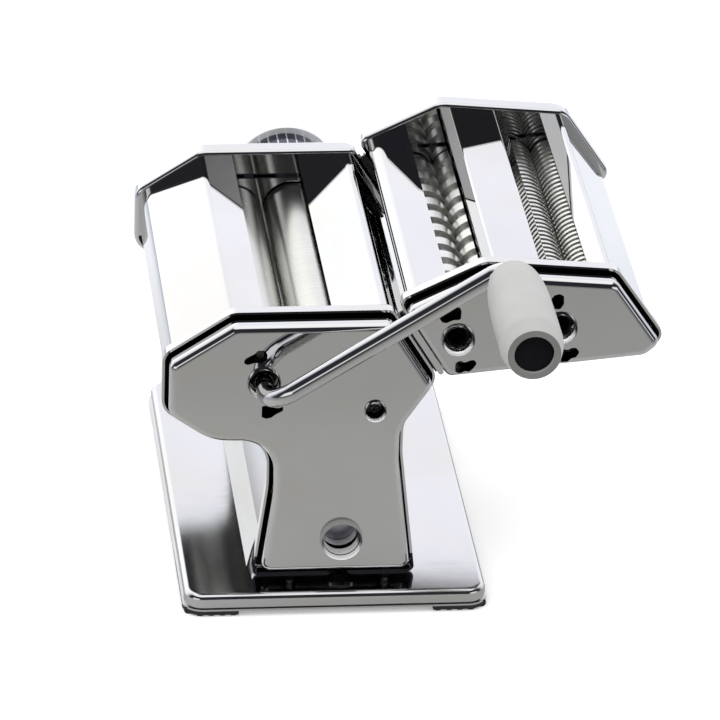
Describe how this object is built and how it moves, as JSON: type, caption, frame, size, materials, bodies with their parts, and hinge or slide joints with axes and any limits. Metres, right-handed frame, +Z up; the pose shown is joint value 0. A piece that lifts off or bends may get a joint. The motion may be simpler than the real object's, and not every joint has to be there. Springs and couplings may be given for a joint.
{
  "type": "hand cranked pasta machine",
  "caption": "Chromed hand cranked pasta machine: tray base, smooth sheet rollers, hooked-on cutter unit, bent rod crank with turning grip and a thickness knob behind.",
  "frame": {"origin": "centre of the overall box in plan (crank and knob included), on the plane the feet stand on", "axes": "+Z up; -Y towards the crank side, +Y towards the thickness knob, along the rollers; +X towards the cutter unit"},
  "size_m": [0.2065, 0.3062, 0.1788],
  "materials": {
    "chrome_sheet": "polished mirror chrome on pressed steel sheet",
    "chrome_trim": "polished chrome on small turned and formed pieces",
    "chrome_rod": "polished chrome on a drawn steel rod",
    "satin_roller": "fine satin ground around the roller",
    "cutter_steel": "satin turned rings",
    "gear_steel": "machined, lightly greased",
    "bright_steel": "bright drawn steel",
    "zinc_fasteners": "zinc plated",
    "dark_screw": "black oxide",
    "spring_steel": "drawn spring wire",
    "sintered_bronze": "dull sintered bearing metal",
    "white_nylon": "matt",
    "knob_drum": "polished, with plain scale marks",
    "foot_rubber": "matt ribbed rubber",
    "grip_plastic": "matt off-white plastic",
    "cap_plastic": "gloss black plug"
  },
  "bodies": {
    "body": {"base_tray": "chrome_sheet", "clamp_eyelet": "chrome_trim", "rubber_feet": "foot_rubber", "base_screws": "zinc_fasteners", "front_frame": "chrome_sheet", "rear_frame": "chrome_sheet", "front_cover": "chrome_sheet", "rear_cover": "chrome_sheet", "lower_tie_rod": "bright_steel", "upper_tie_rods": "bright_steel", "frame_nuts": "zinc_fasteners", "rod_end_caps": "chrome_trim", "rod_bushes": "chrome_trim", "cover_screw": "dark_screw", "left_hood": "chrome_sheet", "right_hood": "chrome_sheet", "roller_end_guards": "chrome_trim", "exit_chute": "chrome_sheet", "roller_scrapers": "white_nylon", "roller_bushes": "sintered_bronze", "carrier_studs": "bright_steel", "knob_bush": "sintered_bronze", "body_rails": "dark_screw"},
    "crank_roller_unit": {"crank_roller": "satin_roller", "crank_roller_gear": "gear_steel"},
    "crank": {"crank_arm": "chrome_rod"},
    "grip": {"crank_grip": "grip_plastic", "grip_cap": "cap_plastic"},
    "roller_carrier": {"carrier_plates": "bright_steel", "carrier_bars": "bright_steel", "cam_window": "bright_steel"},
    "adjustable_roller_unit": {"adjustable_roller": "satin_roller", "adjustable_roller_gear": "gear_steel"},
    "spindle_unit": {"cam_spindle": "bright_steel", "spindle_screw": "zinc_fasteners"},
    "knob_unit": {"regulator_knob": "knob_drum", "knob_cap": "chrome_trim", "knob_spring": "spring_steel"},
    "cutter_unit": {"cutter_hooks": "chrome_trim", "cutter_front_frame": "chrome_sheet", "cutter_rear_frame": "chrome_sheet", "cutter_front_cover": "chrome_sheet", "cutter_rear_cover": "chrome_sheet", "cutter_tie_rods": "bright_steel", "cutter_cover_screws": "dark_screw", "cutter_nuts": "zinc_fasteners", "cutter_left_hood": "chrome_sheet", "cutter_center_hood": "chrome_sheet", "cutter_right_hood": "chrome_sheet", "cutter_end_guards": "chrome_trim", "cutter_bushes": "sintered_bronze", "cutter_combs": "bright_steel"},
    "wide_cutter_a_unit": {"wide_cutter_a": "cutter_steel", "wide_gear_a": "gear_steel"},
    "wide_cutter_b_unit": {"wide_cutter_b": "cutter_steel", "wide_gear_b": "gear_steel"},
    "fine_cutter_a_unit": {"fine_cutter_a": "cutter_steel", "fine_gear_a": "gear_steel"},
    "fine_cutter_b_unit": {"fine_cutter_b": "cutter_steel", "fine_gear_b": "gear_steel"}
  },
  "joints": [
    {"name": "crank_roller_spin", "type": "hinge", "parent": "body", "child": "crank_roller_unit", "pos_m": [-0.06222, 0.0391, 0.104], "axis": [0, 1, 0], "continuous": true},
    {"name": "crank_pull", "type": "slide", "parent": "crank_roller_unit", "child": "crank", "axis": [0, -1, 0], "range_m": [0, 0.022]},
    {"name": "grip_spin", "type": "hinge", "parent": "crank", "child": "grip", "pos_m": [0.03328, -0.1159, 0.166], "axis": [0, 1, 0], "continuous": true},
    {"name": "carrier_slide", "type": "slide", "parent": "body", "child": "roller_carrier", "axis": [1, 0, 0], "range_m": [-0.00119, 0.00119]},
    {"name": "adjustable_roller_spin", "type": "hinge", "parent": "roller_carrier", "child": "adjustable_roller_unit", "pos_m": [-0.03472, 0.0391, 0.104], "axis": [0, 1, 0], "continuous": true},
    {"name": "knob_turn", "type": "hinge", "parent": "body", "child": "spindle_unit", "pos_m": [-0.03472, 0.1291, 0.104], "axis": [0, 1, 0], "range_deg": [-48, 48]},
    {"name": "knob_pull", "type": "slide", "parent": "spindle_unit", "child": "knob_unit", "axis": [0, 1, 0], "range_m": [0, 0.004], "stiffness_N_per_m": 600, "springref_m": -0.003},
    {"name": "cutter_lift_off", "type": "slide", "parent": "body", "child": "cutter_unit", "axis": [-0.5288, 0, 0.8487], "range_m": [0, 0.045]},
    {"name": "wide_cutter_a_spin", "type": "hinge", "parent": "cutter_unit", "child": "wide_cutter_a_unit", "pos_m": [0.01718, 0.0391, 0.1221], "axis": [0, 1, 0], "continuous": true},
    {"name": "wide_cutter_b_spin", "type": "hinge", "parent": "cutter_unit", "child": "wide_cutter_b_unit", "pos_m": [0.03474, 0.0391, 0.1233], "axis": [0, 1, 0], "continuous": true},
    {"name": "fine_cutter_a_spin", "type": "hinge", "parent": "cutter_unit", "child": "fine_cutter_a_unit", "pos_m": [0.05938, 0.0391, 0.1266], "axis": [0, 1, 0], "continuous": true},
    {"name": "fine_cutter_b_spin", "type": "hinge", "parent": "cutter_unit", "child": "fine_cutter_b_unit", "pos_m": [0.07694, 0.0391, 0.1278], "axis": [0, 1, 0], "continuous": true}
  ],
  "couplings": [
    {"joint": "adjustable_roller_spin", "follows": "crank_roller_spin", "ratio": -1},
    {"joint": "knob_turn", "follows": "carrier_slide", "rad_per_m": 704.59},
    {"joint": "wide_cutter_b_spin", "follows": "wide_cutter_a_spin", "ratio": -1},
    {"joint": "fine_cutter_b_spin", "follows": "fine_cutter_a_spin", "ratio": -1}
  ]
}
